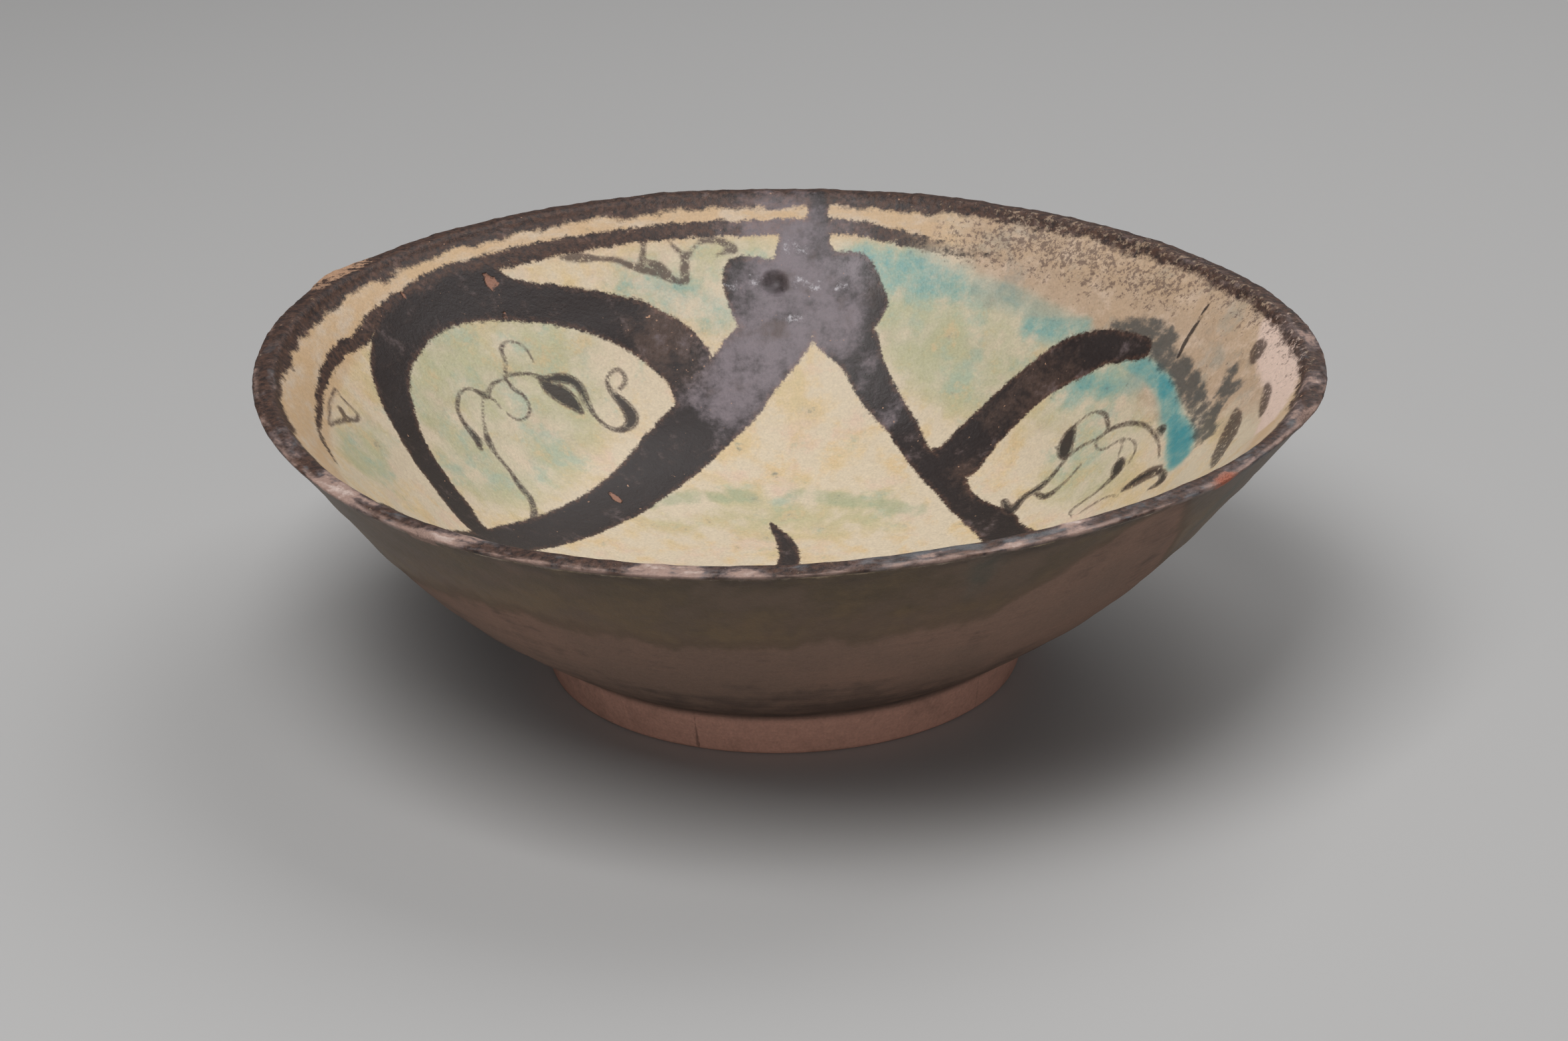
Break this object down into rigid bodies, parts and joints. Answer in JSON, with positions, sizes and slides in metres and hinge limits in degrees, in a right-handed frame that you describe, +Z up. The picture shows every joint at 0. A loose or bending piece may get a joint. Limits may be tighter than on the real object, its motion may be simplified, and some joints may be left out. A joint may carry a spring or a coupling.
{
  "type": "glazed bowl",
  "caption": "Wide flaring earthenware bowl on a low ring foot, glazed and painted inside, with a worn and slightly warped rim.",
  "frame": {"origin": "on the ground under the middle of the ring foot", "axes": "+Z up out of the bowl's mouth, -Y towards the bowl's front, +X to its right seen from the front"},
  "size_m": [0.2013, 0.2016, 0.0628],
  "materials": {
    "glazed_earthenware": "worn cream and pale green glaze with dark painted bands inside, bare pinkish-buff clay low outside"
  },
  "bodies": {
    "root": {"bowl": "glazed_earthenware"}
  },
  "joints": []
}
